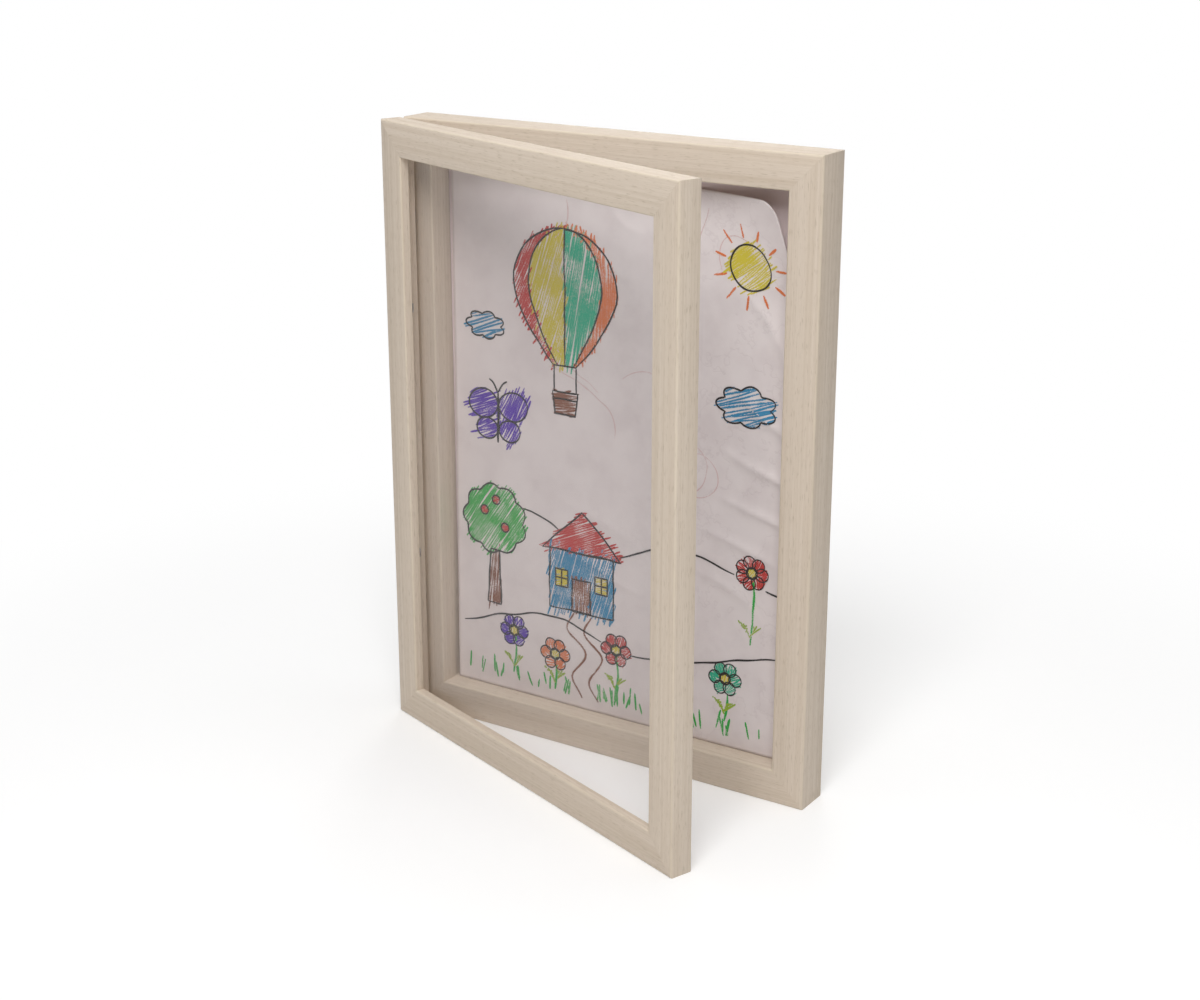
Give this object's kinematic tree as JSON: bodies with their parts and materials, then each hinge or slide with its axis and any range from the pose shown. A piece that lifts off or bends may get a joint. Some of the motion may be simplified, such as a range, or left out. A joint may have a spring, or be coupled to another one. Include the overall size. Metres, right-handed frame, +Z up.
{
  "type": "childrens art frame",
  "caption": "Upright wooden picture frame with a shallow tray that stores drawings behind a glazed front door on side hinges.",
  "frame": {"origin": "centre of the tray's lower face, on which the frame stands", "axes": "+Z up along the frame's height, +X to the viewer's right, -Y out of the front; the door's hinges are on the -X side"},
  "size_m": [0.2544, 0.1207, 0.34],
  "materials": {
    "pale_wood": "pale limed oak, satin",
    "back_board": "plain hardboard, matt",
    "clear_sheet": "clear acrylic, polished",
    "paper": "drawing paper, matt",
    "steel": "zinc plated",
    "hinge_steel": "nickel plated, satin",
    "magnet_metal": "nickel plated, bright"
  },
  "bodies": {
    "tray": {"back_panel": "back_board", "drawing_sheet": "paper", "landscape_hanger": "steel", "landscape_hanger_rivet_a": "steel", "landscape_hanger_rivet_b": "steel", "lower_catch_magnet": "magnet_metal", "lower_hinge_pin": "hinge_steel", "lower_hinge_tray_leaf": "hinge_steel", "lower_hinge_tray_leaf_screw_lower": "hinge_steel", "lower_hinge_tray_leaf_screw_upper": "hinge_steel", "panel_point_bottom": "steel", "panel_point_left_lower": "steel", "panel_point_left_upper": "steel", "panel_point_right_lower": "steel", "panel_point_right_upper": "steel", "panel_point_top": "steel", "portrait_hanger": "steel", "portrait_hanger_rivet_a": "steel", "portrait_hanger_rivet_b": "steel", "tray_bottom_rail": "pale_wood", "tray_left_stile": "pale_wood", "tray_right_stile": "pale_wood", "tray_top_rail": "pale_wood", "tray_vee_nail_bottom_left": "steel", "tray_vee_nail_bottom_right": "steel", "tray_vee_nail_top_left": "steel", "tray_vee_nail_top_right": "steel", "upper_catch_magnet": "magnet_metal", "upper_hinge_pin": "hinge_steel", "upper_hinge_tray_leaf": "hinge_steel", "upper_hinge_tray_leaf_screw_lower": "hinge_steel", "upper_hinge_tray_leaf_screw_upper": "hinge_steel"},
    "door": {"door_bottom_rail": "pale_wood", "door_left_stile": "pale_wood", "door_right_stile": "pale_wood", "door_top_rail": "pale_wood", "door_vee_nail_bottom_left": "steel", "door_vee_nail_bottom_right": "steel", "door_vee_nail_top_left": "steel", "door_vee_nail_top_right": "steel", "glazing_pane": "clear_sheet", "lower_catch_keeper": "steel", "lower_hinge_door_leaf": "hinge_steel", "lower_hinge_door_leaf_screw_lower": "hinge_steel", "lower_hinge_door_leaf_screw_upper": "hinge_steel", "pane_point_bottom": "steel", "pane_point_left_lower": "steel", "pane_point_left_upper": "steel", "pane_point_right_lower": "steel", "pane_point_right_upper": "steel", "pane_point_top": "steel", "upper_catch_keeper": "steel", "upper_hinge_door_leaf": "hinge_steel", "upper_hinge_door_leaf_screw_lower": "hinge_steel", "upper_hinge_door_leaf_screw_upper": "hinge_steel"}
  },
  "joints": [
    {"name": "door_hinge", "type": "hinge", "parent": "tray", "child": "door", "pos_m": [-0.1273, -0.01125, 0.17], "axis": [0, 0, -1], "range_deg": [-20, 160]}
  ]
}
